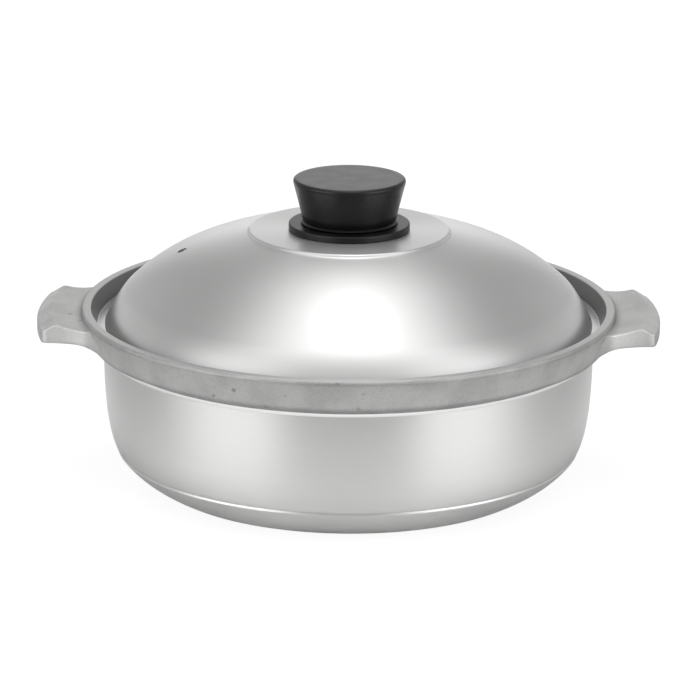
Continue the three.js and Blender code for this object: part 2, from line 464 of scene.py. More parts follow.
class Shade:
    """The node tree of a material or of the world, with one method that adds any node."""

    def __init__(self, tree: bpy.types.NodeTree) -> None:
        """Empties a tree.

        Args:
            tree: the tree.
        """
        self.tree = tree
        tree.nodes.clear()

    def node(self, kind: str, settings: dict[str, object] | None = None,
             inputs: dict[str | int, object] | None = None) -> bpy.types.Node:
        """Adds a node.

        Args:
            kind: its type.
            settings: its properties, which are set first.
            inputs: values, sockets or signals for its inputs, by name or number.

        Returns:
            The node.
        """
        made = self.tree.nodes.new(kind)
        for key, value in (settings or {}).items():
            setattr(made, key, value)
        for key, value in (inputs or {}).items():
            target = made.inputs[key]
            if isinstance(value, Signal):
                self.tree.links.new(value.socket, target)
            elif isinstance(value, bpy.types.NodeSocket):
                self.tree.links.new(value, target)
            else:
                target.default_value = value
        return made

    def signal(self, kind: str, output: str, settings: dict[str, object] | None = None,
               inputs: dict[str | int, object] | None = None) -> Signal:
        """Adds a node and takes one of its outputs as a number.

        Args:
            kind: its type.
            output: name of the output.
            settings: its properties.
            inputs: its inputs.

        Returns:
            The number.
        """
        return Signal(self, self.node(kind, settings, inputs).outputs[output])

    def place(self) -> bpy.types.NodeSocket:
        """The point that is shaded, on the object's own axes."""
        return self.node("ShaderNodeTexCoord").outputs["Object"]

    def axes(self) -> tuple[Signal, Signal, Signal]:
        """The point that is shaded, as three numbers in millimetres."""
        parts = self.node("ShaderNodeSeparateXYZ", None, {0: self.place()})
        return tuple(Signal(self, parts.outputs[axis]) / MM for axis in range(3))

    def facing(self) -> tuple[Signal, Signal, Signal]:
        """The way that the shaded surface faces.

        Returns:
            The three parts of its normal, on the object's own axes.
        """
        normal = self.node("ShaderNodeTexCoord").outputs["Normal"]
        parts = self.node("ShaderNodeSeparateXYZ", None, {0: normal})
        return tuple(Signal(self, parts.outputs[axis]) for axis in range(3))

    def radius(self) -> Signal:
        """Distance of the shaded point from the Z axis, in millimetres."""
        x, y, _ = self.axes()
        return (x * x + y * y) ** 0.5

    def grain(self, size: float, detail: float = 2.0) -> Signal:
        """Noise that is the same in all directions.

        Args:
            size: size of its features, in millimetres.
            detail: how many finer layers it has.

        Returns:
            The noise, about 0.5.
        """
        return self.signal("ShaderNodeTexNoise", "Fac", {"noise_dimensions": "3D"},
                           {"Vector": self.place(), "Scale": 1 / (size * MM), "Detail": detail})

    def rings(self, along: Signal, size: float, detail: float = 3.0) -> Signal:
        """Noise that changes along one number only, as turning marks do.

        Args:
            along: the number, in millimetres.
            size: size of its features, in millimetres.
            detail: how many finer layers it has.

        Returns:
            The noise, about 0.5.
        """
        return self.signal("ShaderNodeTexNoise", "Fac", {"noise_dimensions": "1D"},
                           {"W": along, "Scale": 1 / size, "Detail": detail})

    def grey(self, darkest: tuple[float, float, float], lightest: tuple[float, float, float],
             share: Signal | float) -> bpy.types.NodeSocket:
        """A colour between two colours.

        Args:
            darkest: colour at 0.
            lightest: colour at 1.
            share: place between them.

        Returns:
            The colour.
        """
        node = self.node("ShaderNodeMix", {"data_type": "RGBA", "clamp_factor": True},
                         {"Factor": share, 6: (*darkest, 1), 7: (*lightest, 1)})
        return node.outputs[2]

    def relief(self, height: Signal, depth: float, strength: float) -> bpy.types.NodeSocket:
        """Bump from a height.

        Args:
            height: the height, from 0 to 1.
            depth: what a height of 1 stands for, in millimetres.
            strength: how much of it shows, from 0 to 1.

        Returns:
            The normal.
        """
        return self.node("ShaderNodeBump", None, {"Height": height, "Distance": depth * MM,
                                                  "Strength": strength}).outputs["Normal"]


# Finishes


@dataclass(frozen=True)
class Finish:
    """A finish, whose subclasses give what changes over the surface."""

    name: str
    colour: tuple[float, float, float]
    roughness: float
    metallic: float = 1.0
    anisotropy: float = 0.0
    gloss: float = 0.5

    def material(self) -> bpy.types.Material:
        """Makes the material.

        Returns:
            The material, with its surface connected.
        """
        made = bpy.data.materials.new(self.name)
        made.use_nodes = True
        made.diffuse_color = (*self.colour, 1)
        shade = Shade(made.node_tree)
        settings = {
            "Metallic": self.metallic,
            "Specular IOR Level": self.gloss,
            "Anisotropic": self.anisotropy,
            "Anisotropic Rotation": QUARTER_TURN if self.anisotropy else 0.0,
        }
        surface = shade.node("ShaderNodeBsdfPrincipled", None, settings | self.pattern(shade))
        shade.node("ShaderNodeOutputMaterial", None, {"Surface": surface.outputs[0]})
        log.info("material %s", self.name)
        return made

    def pattern(self, shade: Shade) -> dict[str | int, object]:
        """What changes over the surface.

        Args:
            shade: the material's node tree.

        Returns:
            Inputs of the shader.
        """
        raise NotImplementedError

    def tone(self, share: float) -> tuple[float, float, float]:
        """The colour times a share."""
        return tuple(min(1.0, channel * share) for channel in self.colour)

    def toned(self, shade: Shade, tones: Pair, share: Signal) -> bpy.types.NodeSocket:
        """The colour, darker or lighter between two tones."""
        return shade.grey(self.tone(tones[0]), self.tone(tones[1]), share)


@dataclass(frozen=True)
class CastSkin(Finish):
    """Aluminium as it leaves the mould: an even grain with streaks, and a few pits mostly on the left.

    The skin is painted darker, as painted shade, along the collar's edges, in a band towards its top,
    under the collar, in the fillets above each ear and on the ears' lower faces. It is lighter where the
    sides of the ears are ground, and on top of the ears, most of all at their tips, partly from the wear of
    hands and partly as painted light.
    """

    collar: tuple[float, float, float] = (72.0, 86.5, 134.85)
    grain_size: float = 0.55
    grain_depth: float = 0.05
    cloud_size: float = 14.0
    pit_spacing: float = 7.0
    pit_depth: float = 0.3
    pit_reach: Pair = (0.24, 0.07)
    pit_patch: float = 1.7
    pit_rarity: Pair = (0.53, 0.6)
    pit_side: Pair = (25.0, -15.0)
    pit_least: float = 0.15
    streak_size: float = 4.5
    streak_width: float = 0.014
    streak_clouds: Pair = (0.54, 0.66)
    streak_depth: float = 0.15
    relief_strength: float = 0.55
    tones: Pair = (0.6, 1.6)
    tone_range: float = 2.2
    base_tone: float = 0.55
    noise_tone: float = 0.4
    pit_tone: float = 0.9
    streak_tone: float = 0.3
    facet_tone: float = 0.65
    # Lighter ear tops and tips: partly wear, partly painted light.
    worn_and_lit_tone: float = 0.42
    tip_worn_and_lit_tone: float = 0.35
    # Painted shade on the ears' lower faces.
    underside_shade_tone: float = 0.5
    # Painted shade: how much darker the collar's edges, the fillets, the part under the collar and the band
    # towards its top are.
    painted_shade_tone: float = 0.65
    under_collar_shade_tone: float = 0.7
    top_band_shade_tone: float = 0.15
    cloud_swing: float = 0.12
    grain_swing: float = 0.14
    facet_smooth: float = 0.04

    def pattern(self, shade: Shade) -> dict[str | int, object]:
        """Grain, pits, streaks and cloudy tone.

        Args:
            shade: the material's node tree.

        Returns:
            Inputs of the shader.
        """
        grain = shade.grain(self.grain_size, 3.0)
        clouds = shade.grain(self.cloud_size, 3.0)
        cell = shade.signal("ShaderNodeTexVoronoi", "Distance", {"feature": "F1"},
                            {"Vector": shade.place(), "Scale": 1 / (self.pit_spacing * MM)})
        rare = shade.grain(self.pit_spacing * self.pit_patch, 0.0).ramp(*self.pit_rarity)
        sideways, _, _ = shade.axes()
        left = sideways.ramp(*self.pit_side) * (1 - self.pit_least) + self.pit_least
        pit = cell.ramp(*self.pit_reach) * rare * left
        vein = shade.grain(self.streak_size, 2.0).bell(NOISE_MIDDLE, self.streak_width)
        streak = vein * clouds.ramp(*self.streak_clouds)
        height = grain * (self.grain_depth / self.pit_depth) - pit - streak * self.streak_depth + 1
        # The ears' tops and tips are painted lighter, partly wear and partly painted light; their lower faces
        # carry painted shade.
        facet, worn_and_lit, tip, underside_shade = self._ear_wear_and_light(shade)
        tone = (clouds.spread() * self.noise_tone + grain.spread() * self.noise_tone - pit * self.pit_tone
                - streak * self.streak_tone - self._painted_shade(shade) + facet * self.facet_tone
                + worn_and_lit * self.worn_and_lit_tone + tip * self.tip_worn_and_lit_tone - underside_shade * self.underside_shade_tone + self.base_tone)
        return {
            "Base Color": self.toned(shade, self.tones, tone / self.tone_range),
            "Roughness": (clouds.swing() * self.cloud_swing + grain.swing() * self.grain_swing
                          - facet * self.facet_smooth + self.roughness),
            "Normal": shade.relief(height, self.pit_depth, self.relief_strength),
        }

    def _painted_shade(self, shade: Shade) -> Signal:
        """Painted shade: the skin darker at the collar's edges and top, under it, and above each ear.

        Args:
            shade: the material's node tree.

        Returns:
            How much darker it is.
        """
        foot, edge, radius = self.collar
        x, y, z = shade.axes()
        away = shade.radius()
        # Painted shade: dark lines at the collar's top and foot edges, a band darker towards its top, the
        # fillet under it and the fillet above each ear.
        outside = away.window((radius - 7, radius - 5), (radius + 1, radius - 1))
        top = z.bell(edge + 0.3, 0.8) * self.painted_shade_tone + z.ramp(edge - 7, edge) * self.top_band_shade_tone
        edges = top + z.bell(foot + 0.5, 1.2) * self.painted_shade_tone
        under = z.ramp(foot + 0.2, foot - 0.8) * self.under_collar_shade_tone
        along = (y / x.absolute()).absolute()
        fillet = away.bell(radius - 0.3, 1.2) * z.ramp(edge - 3, edge - 2) * along.ramp(0.28, 0.1)
        return edges * outside + under + fillet * self.painted_shade_tone

    def _ear_wear_and_light(self, shade: Shade) -> tuple[Signal, Signal, Signal, Signal]:
        """Marks of grinding and of use on the ears, with painted light on their tops and painted shade under
        them.

        Args:
            shade: the material's node tree.

        Returns:
            Where their sides are ground; their tops lighter and their tips more so, partly from wear and
            partly as painted light; and their lower faces darker, as painted shade.
        """
        _, across, up = shade.facing()
        away = shade.radius()
        edge = self.collar[2]
        outer = away.ramp(edge + 1, edge + 4)
        inner = across.absolute().ramp(0.4, 0.2)
        return (across.absolute().ramp(0.45, 0.8) * away.ramp(edge + 0.5, edge + 4),
                # Tops: lighter, partly wear and partly painted light.
                up.ramp(0.6, 0.85) * inner * outer,
                # Tips: lighter still, partly wear and partly painted light.
                up.bell(0.86, 0.08) * inner * away.ramp(edge + 11, edge + 15),
                # Lower faces: painted shade.
                up.ramp(-0.15, -0.6) * outer)


@dataclass(frozen=True)
class TurnedSatin(Finish):
    """Aluminium finished on a lathe: fine rings, a few of them broader, and hardly any other mark."""

    height_share: float = 1.0
    ring_size: float = 0.5
    ring_depth: float = 0.004
    mark: float = 0.35
    broad_factor: float = 9.0
    cloud_size: float = 30.0
    tone_swing: float = 0.05
    tone_weights: tuple[float, float, float] = (0.55, 0.3, 0.15)
    rough_weights: tuple[float, float, float] = (0.08, 0.05, 0.04)

    def pattern(self, shade: Shade) -> dict[str | int, object]:
        """Fine and broad rings, with faint clouds.

        Args:
            shade: the material's node tree.

        Returns:
            Inputs of the shader.
        """
        _, _, z = shade.axes()
        along = shade.radius() + z * self.height_share
        fine = shade.rings(along, self.ring_size)
        broad = shade.rings(along, self.ring_size * self.broad_factor, 1.0)
        noises = (fine, broad, shade.grain(self.cloud_size, 2.0))
        tone = weighed([noise.spread() for noise in noises], self.tone_weights)
        rough = weighed([noise.swing() for noise in noises], self.rough_weights)
        swing = self.tone_swing * self.mark
        return {
            "Base Color": self.toned(shade, (1 - swing, 1 + swing), tone),
            "Roughness": rough * self.mark + self.roughness,
            "Normal": shade.relief(fine, self.ring_depth, self.mark),
        }


@dataclass(frozen=True)
class MouldedResin(Finish):
    """Black resin with the fine matt texture of its mould, paler upwards from wear and painted light."""

    grain_size: float = 0.28
    grain_depth: float = 0.02
    grain_strength: float = 0.5
    grain_share: float = 0.25
    wear_size: float = 9.0
    worn_and_lit_heights: Pair = (0.0, 1.0)
    tones: Pair = (0.3, 1.5)
    rough_weights: Pair = (0.15, 0.12)

    def pattern(self, shade: Shade) -> dict[str | int, object]:
        """Fine grain with faint handling wear, and a paler upper part, partly wear and partly painted light.

        Args:
            shade: the material's node tree.

        Returns:
            Inputs of the shader.
        """
        grain = shade.grain(self.grain_size, 2.0)
        wear = shade.grain(self.wear_size, 3.0)
        _, _, z = shade.axes()
        # Paler upwards between two heights: partly handling wear, partly painted light.
        pale = grain.spread() * self.grain_share + z.ramp(*self.worn_and_lit_heights) * (1 - self.grain_share)
        return {
            "Base Color": self.toned(shade, self.tones, pale),
            "Roughness": weighed([grain.swing(), wear.swing()], self.rough_weights) + self.roughness,
            "Normal": shade.relief(grain, self.grain_depth, self.grain_strength),
        }


@dataclass(frozen=True)
class DrawnMetal(Finish):
    """Small bright hardware, with fine tool marks and a little tarnish."""

    mark_size: float = 0.12
    mark_depth: float = 0.006
    mark_strength: float = 0.4
    tarnish_size: float = 1.6
    tarnish_range: Pair = (0.35, 0.65)
    tones: Pair = (0.82, 1.05)
    rough_weights: Pair = (0.12, 0.16)

    def pattern(self, shade: Shade) -> dict[str | int, object]:
        """Tool marks and tarnish.

        Args:
            shade: the material's node tree.

        Returns:
            Inputs of the shader.
        """
        _, _, z = shade.axes()
        marks = shade.rings(shade.radius() + z, self.mark_size)
        tarnish = shade.grain(self.tarnish_size, 3.0)
        return {
            "Base Color": self.toned(shade, self.tones, tarnish.ramp(*self.tarnish_range)),
            "Roughness": weighed([marks.swing(), tarnish.swing()], self.rough_weights) + self.roughness,
            "Normal": shade.relief(marks, self.mark_depth, self.mark_strength),
        }


# The pot


@dataclass
class Ear:
    """Sizes of one ear, measured from the pot's rim and mouth, and the lines that shape it."""

    rim_radius: float
    rim_height: float
    reach: float
    wall_foot: Vector
    wall_top: Vector
    half_width: float = 36.7
    flare: float = 14.3
    root_depth: float = 3.5
    side_flat: float = 2.65
    corner_round: float = 3.0
    ridge_inset: float = 6.5
    ridge_drop: float = 0.9
    waist_offset: float = 2.15
    waist_drop: float = 3.2
    tip_drop: float = 4.3
    tip_thickness: float = 6.6
    edge_round: float = 1.2
    side_round: float = 0.9
    side_shares: tuple[float, float, float] = (1.0, 0.29, 0.0)
    side_guard: float = 0.8
    ridge_round: float = 3.2
    under_share: float = 0.41
    under_shares: Pair = (0.35, 1.0)
    flare_shares: Steps = ((0.35, 0.06), (0.73, 0.3))
    root_columns: int = 13
    fillet_pull: float = 0.6
    corner_steps: int = 12
    wall_reach: float = 0.5
    skin_first: float = 0.02
    skin_step: float = 0.035
    skin_most: float = 0.6
    round_run: float = 3.0
    blend_stations: int = 6

    def top(self) -> Outline:
        """Top of the ear outwards.

        Returns:
            Its fillet, waist and ridge, and the slope to the tip.
        """
        waist = Vector((self.rim_radius + self.waist_offset, self.rim_height - self.waist_drop))
        ridge = Vector((self.reach - self.ridge_inset, self.rim_height - self.ridge_drop))
        tip_top = self.rim_height - self.tip_drop
        below = Vector((self.wall_top.x, waist.y))
        line = Outline([self.wall_top.copy()])
        line.cubic(self.wall_top.lerp(below, self.fillet_pull), waist.lerp(below, self.fillet_pull),
                   waist, 12)
        line.bend(between(waist, ridge, (0.5, 0.0)), ridge, 24)
        line.points.pop()
        line.corner(ridge, (self.reach, tip_top - self.edge_round), self.ridge_round, 6)
        tip = Vector((self.reach, tip_top))
        line.line((self.reach - self.edge_round, tip_top))
        return line.bend(tip, (self.reach, tip_top - self.edge_round), 8)

    def under(self) -> Outline:
        """Underside of the ear outwards.

        Returns:
            The hollow under the collar, the flat and the tip.
        """
        tip_foot = self.rim_height - self.tip_drop - self.tip_thickness
        flat = Vector((self.wall_foot.x + (self.reach - self.wall_foot.x) * self.under_share, tip_foot))
        line = Outline([self.wall_foot.copy()])
        line.bend(between(self.wall_foot, flat, self.under_shares), flat, 16)
        line.line((self.reach - self.edge_round, tip_foot))
        return line.bend(Vector((self.reach, tip_foot)), (self.reach, tip_foot + self.edge_round), 8)

    def root_angle(self, columns: int) -> float:
        """Half the angle that the ear's root takes on the collar, in radians."""
        return math.tau * self.root_columns / columns

    def plan(self, columns: int) -> Outline:
        """Half of the ear's plan, outwards.

        Args:
            columns: how many columns the casting has round its axis.

        Returns:
            Radius from the pot's axis and half angle.
        """
        corner_x = math.sqrt(self.reach**2 - self.half_width**2)
        start = Vector((corner_x - self.corner_round - self.side_flat, self.half_width))
        root_y = self.half_width + self.flare
        root = Vector((math.sqrt((self.rim_radius - self.root_depth) ** 2 - root_y**2), root_y))
        near, far = (between(start, root, shares) for shares in self.flare_shares)
        flare = Outline([start]).cubic(near, far, root, 60).points[::-1]
        polar = Outline([Vector((self.wall_foot.x, self.root_angle(columns)))])
        polar.points += [Vector((p.length, math.atan2(p.y, p.x))) for p in flare]
        corner_centre = self.reach - self.corner_round
        for step in range(self.corner_steps + 1):
            radius = corner_centre + self.corner_round * math.sin(math.pi / 2 * step / self.corner_steps)
            depth = math.sqrt(max(0.0, self.corner_round**2 - (radius - corner_centre) ** 2))
            width = self.half_width - self.corner_round + depth
            if radius > polar.end.x:
                polar.points.append(Vector((radius, math.asin(width / radius))))
        return polar

    def stations(self) -> list[float]:
        """Radii at which the ear is drawn.

        Returns:
            The radii, from its root to its tip.
        """
        ridge = self.reach - self.ridge_inset
        root = [self.wall_foot.x + step for step in (0.5, 1.1, 1.8, 2.6, 3.5, 4.3)]
        fillet = [self.rim_radius + step for step in (0.12, 0.35, 0.7, 1.2, 1.7, 2.3)]
        waist = [self.rim_radius + step for step in (3.5, 5.2, 7.2, 9.4, 11.6, 13.4)]
        crest = [ridge + step for step in (-0.9, -0.5, -0.2, 0.1, 0.4, 0.8)]
        tip = [self.reach - step for step in (4.6, 3.2, 2.2, 1.4, 1.1, 0.75, 0.42, 0.18, 0.05, 0.0)]
        return root + fillet + waist + crest + tip

    def wall_radius(self, up: float) -> float:
        """Radius of the collar's outer wall at a share of its height."""
        return self.wall_foot.x + (self.wall_top.x - self.wall_foot.x) * up

    def side_distance(self, column: int, arc: float) -> float:
        """How far a column of the ear is from its side, so that the last ones follow the round edge.

        Args:
            column: number of the column, counted from the middle.
            arc: length from the ear's middle to its side.

        Returns:
            The distance, in millimetres.
        """
        first = self.side_shares[1] * self.side_round
        near = (0.0, first, self.side_round, self.side_round + self.side_guard)
        from_side = self.root_columns - column
        if from_side < len(near):
            return near[from_side]
        return arc + (near[-1] - arc) * column / (self.root_columns - len(near) + 1)

    def side_inset(self, column: int, round_size: float) -> float:
        """How far the round edge takes a column down from the top or up from the foot.

        Args:
            column: number of the column, counted from the middle.
            round_size: radius of the round edge there.

        Returns:
            The distance, in millimetres.
        """
        from_side = self.root_columns - column
        return round_size * self.side_shares[min(from_side, len(self.side_shares) - 1)]


@dataclass
class PotCasting:
    """The pot: bowl, collar with the lid's ledge, and both ears, as one casting."""

    columns: int = 192
    rim_width: float = 4.85
    rim_round: float = 1.5
    rim_step: float = 2.1
    ledge_depth: float = 8.6
    collar_draft: float = 3.0
    collar_below_ledge: float = 8.0
    collar_overhang: float = 6.2
    collar_fillet: float = 4.5
    fillet_cast_share: float = 0.645
    rim_lean: float = 0.45
    belly_inset: float = 11.15
    edge_round: float = 0.7
    wall: float = 3.7
    floor_extra: float = 1.3
    band_height: float = 15.4
    band_inset: float = 6.7
    foot_inset: float = 19.1
    groove_width: float = 1.5
    groove_depth: float = 0.3
    groove_share: float = 0.75
    groove_lip: Pair = (0.05, 0.12)
    foot_shares: Pair = (0.65, 0.41)
    wall_shares: Steps = ((0.62, 0.16), (0.97, 0.42))
    wall_rows: int = 6
    base_edge_run: float = 1.6
    base_edge_round: float = 0.8
    ledge_skirt: float = 5.0
    floor_round: float = 2.5
    inward_lean: float = -0.05
    level_lean: float = 0.6
    ledge_lean: float = 0.95
    base_reach: float = 0.05

    def __post_init__(self) -> None:
        """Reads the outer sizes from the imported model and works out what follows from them."""
        _, high = millimetre_box("pot_body")
        self.height, self.rim_radius, self.reach = high.z, high.y, high.x
        self.mouth = self.rim_radius - self.rim_width
        self.ledge_height = self.height - self.ledge_depth
        self.ledge_radius = self.mouth - self.collar_draft
        self.belly = self.rim_radius - self.belly_inset
        self.cavity = self.belly - self.wall
        self.collar_foot = self.ledge_height - self.collar_below_ledge
        self.collar_radius = self.belly + self.collar_overhang
        self.band_radius = self.belly - self.band_inset
        self.foot_radius = self.band_radius - self.foot_inset
        self.floor = self.wall + self.floor_extra
        self.ear = Ear(self.rim_radius, self.height, self.reach,
                       Vector((self.collar_radius + self.edge_round / 3, self.collar_foot + self.edge_round)),
                       Vector((self.rim_radius, self.height - self.rim_step)))

    def foot_line(self) -> Outline:
        """Outside of the bowl from the edge of its base to the line turned round its foot."""
        foot, top = Vector((self.foot_radius, 0)), Vector((self.band_radius, self.band_height))
        return Outline([foot]).bend(between(foot, top, self.foot_shares), top, 20)

    def wall_line(self) -> Outline:
        """Outside of the bowl above its foot.

        Returns:
            The line, from the turned line up to the fillet under the collar.
        """
        foot = Vector((self.band_radius + self.groove_width / 3, self.band_height + self.groove_width))
        top = Vector((self.belly, self.collar_foot - self.collar_fillet))
        near, far = (between(foot, top, shares) for shares in self.wall_shares)
        return Outline([foot]).cubic(near, far, top, 30)

    def inside_line(self) -> list[Vector]:
        """Inside of the bowl.

        Returns:
            The points, from its top down to the edge of its floor.
        """
        bowl = beside(self.foot_line().points + self.wall_line().points, self.wall)
        above = [point for point in bowl if point.y > self.floor + self.edge_round]
        return above[::-1]

    def outline(self) -> Outline:
        """The whole section.

        Returns:
            The line, from the middle of the base round the rim to the middle of the floor.
        """
        foot, wall = self.foot_line(), self.wall_line()
        belly_foot = (self.belly, self.collar_foot)
        lip_run, lip_rise = self.groove_lip
        line = Outline([Vector((0, 0))])
        line.divided((self.foot_radius - self.base_edge_run, 0), 12)
        line.corner(foot.points[0], foot.points[2], self.base_edge_round, 3)
        line.line(*foot.points[3:])
        line.line((self.band_radius + lip_run, self.band_height + lip_rise))
        line.divided((self.band_radius - self.groove_depth,
                      self.band_height + self.groove_width * self.groove_share), 4)
        line.line(*wall.points)
        line.bend(belly_foot, (self.belly + self.collar_fillet, self.collar_foot), 10)
        line.corner((self.collar_radius, self.collar_foot), self.ear.wall_top, self.edge_round * 0.9)
        line.points.pop()
        line.points.append(self.ear.wall_foot.copy())
        line.divided(self.ear.wall_top - Vector((0, self.edge_round / 3)), self.wall_rows)
        line.line(self.ear.wall_top)
        line.corner((self.rim_radius, self.height), (self.mouth, self.height), self.rim_round, 6)
        ledge = (self.ledge_radius, self.ledge_height)
        line.corner((self.mouth, self.height), ledge, self.edge_round * 0.6)
        line.corner(ledge, (self.cavity, self.ledge_height), self.edge_round)
        skirt = (self.cavity, self.ledge_height - self.ledge_skirt)
        line.corner((self.cavity, self.ledge_height), skirt, self.edge_round)
        bowl = self.inside_line()
        line.line(*bowl[:-1])
        line.corner(bowl[-1], (0, self.floor), self.floor_round, 6)
        return line.divided((0, self.floor), 12)

    def build(self) -> bpy.types.Object:
        """Turns the section, grows the ears out of the collar and dresses the casting.

        Returns:
            The piece.
        """
        mesh = turned(self.outline(), self.columns)
        self._mark_zones(mesh)
        across = mesh.verts.layers.float.new("across")
        up = mesh.verts.layers.float.new("up")
        for side in (0.0, math.pi):
            self._grow_ear(mesh, side, across, up)
        mesh.verts.layers.float.remove(mesh.verts.layers.float["across"])
        mesh.verts.layers.float.remove(mesh.verts.layers.float["up"])
        bmesh.ops.recalc_face_normals(mesh, faces=mesh.faces)
        piece = finished(mesh, "pot_casting", self.finishes(), crease=55)
        return placed(piece, Body.POT, Slot.CAST, "pot_body")

    def finishes(self) -> list[bpy.types.Material]:
        """The casting's materials.

        Returns:
            The materials, in the order of Zone.
        """
        return [
            CastSkin("cast_skin", (0.42, 0.42, 0.416), 0.6, collar=self.collar_bands()).material(),
            TurnedSatin("bowl_satin", (0.62, 0.62, 0.615), 0.42, anisotropy=0.75).material(),
            TurnedSatin("bowl_inside", (0.66, 0.66, 0.655), 0.42, ring_size=0.8).material(),
            TurnedSatin("base_turned", (0.6, 0.6, 0.595), 0.38, ring_size=1.0,
                        ring_depth=0.02, mark=1.0).material(),
            # The collar's inner wall: a dark base colour, painted shade standing in for the shade in the
            # narrow channel beside the lid.
            TurnedSatin("seat_painted_shade", (0.23, 0.23, 0.228), 0.32, ring_size=0.4).material(),
            TurnedSatin("rim_ground", (0.49, 0.49, 0.486), 0.46, ring_size=0.4).material(),
            TurnedSatin("ledge_ground", (0.62, 0.62, 0.615), 0.24, ring_size=0.4).material(),
            # Painted highlight: a much lighter base colour on the fillet's lower part, standing in for the
            # bright line that it catches.
            TurnedSatin("fillet_painted_highlight", (0.82, 0.82, 0.814), 0.3, ring_size=0.4).material(),
        ]

    def collar_bands(self) -> tuple[float, float, float]:
        """Height of the collar's foot, height of its upper edge, and radius of that edge."""
        return self.collar_foot, self.ear.wall_top.y, self.rim_radius

    def _mark_zones(self, mesh: bmesh.types.BMesh) -> None:
        """Gives every face the number of its finish.

        Args:
            mesh: the casting before its ears.
        """
        for face in mesh.faces:
            centre = face.calc_center_median() / MM
            radial = Vector((centre.x, centre.y, 0)).normalized()
            outward = face.normal.dot(radial)
            inward = outward < self.inward_lean or face.normal.z > self.level_lean
            if centre.z < self.base_reach:
                zone = Zone.BASE
            elif inward and centre.z < self.ledge_height - self.edge_round:
                zone = Zone.INSIDE
            elif inward and centre.z < self.height - self.edge_round and centre.xy.length < self.mouth:
                zone = Zone.LEDGE if face.normal.z > self.ledge_lean else Zone.SEAT
            elif centre.z < self.collar_foot - self.collar_fillet:
                zone = Zone.TURNED
            # Lower part of the fillet under the collar: painted highlight.
            elif centre.z < self.collar_foot - self.collar_fillet * self.fillet_cast_share:
                zone = Zone.FILLET_HIGHLIGHT
            elif centre.z > self.height - self.rim_round and outward < self.rim_lean:
                zone = Zone.RIM
            else:
                zone = Zone.CAST
            face.material_index = zone.value

    def _grow_ear(self, mesh: bmesh.types.BMesh, side: float, across: bmesh.types.BMLayerItem,
                  up: bmesh.types.BMLayerItem) -> None:
        """Extrudes an ear out of the collar's outer wall, station by station.

        Args:
            mesh: the casting.
            side: angle of the ear's middle, in radians.
            across: layer for a vertex's share of the ear's half width.
            up: layer for a vertex's share of the ear's height.
        """
        ear = self.ear
        root_angle = ear.root_angle(self.columns)
        turn = Matrix.Rotation(-side, 3, "Z")
        faces = []
        for face in mesh.faces:
            centre = turn @ face.calc_center_median() / MM
            share = (centre.z - ear.wall_foot.y) / (ear.wall_top.y - ear.wall_foot.y)
            outer = centre.xy.length > ear.wall_radius(share) - ear.wall_reach
            if 0 < share < 1 and outer and abs(math.atan2(centre.y, centre.x)) < root_angle:
                faces.append(face)
        for vert in {vert for face in faces for vert in face.verts}:
            point = turn @ vert.co / MM
            vert[across] = math.atan2(point.y, point.x) / root_angle
            vert[up] = (point.z - ear.wall_foot.y) / (ear.wall_top.y - ear.wall_foot.y)
        plan, top, under = ear.plan(self.columns), ear.top(), ear.under()
        back = turn.inverted()
        for number, station in enumerate(ear.stations(), 1):
            grown = bmesh.ops.extrude_face_region(mesh, geom=faces)["geom"]
            faces = [item for item in grown if isinstance(item, bmesh.types.BMFace)]
            skin = min(ear.skin_first + ear.skin_step * number, ear.skin_most)
            half_angle = plan.height_at(station)
            low_radius, high_radius = (max(station, ear.wall_radius(end) + skin) for end in (0, 1))
            low, high = under.height_at(low_radius), top.height_at(high_radius)
            foot_round, top_round = (
                ear.side_round * min(1, max(0, (station - ear.wall_radius(end)) / ear.round_run))
                for end in (0, 1))
            for vert in (item for item in grown if isinstance(item, bmesh.types.BMVert)):
                radius = max(station, ear.wall_radius(vert[up]) + skin)
                column = round(abs(vert[across]) * ear.root_columns)
                arc = half_angle * radius
                near_side = 1 - ear.side_distance(column, arc) / arc
                blend = min(1, number / ear.blend_stations)
                share = abs(vert[across]) + (near_side - abs(vert[across])) * blend
                angle = math.copysign(share, vert[across]) * half_angle
                foot = low + ear.side_inset(column, foot_round)
                height = foot + (high - ear.side_inset(column, top_round) - foot) * vert[up]
                vert.co = back @ Vector((radius * math.cos(angle), radius * math.sin(angle), height)) * MM


# The lid


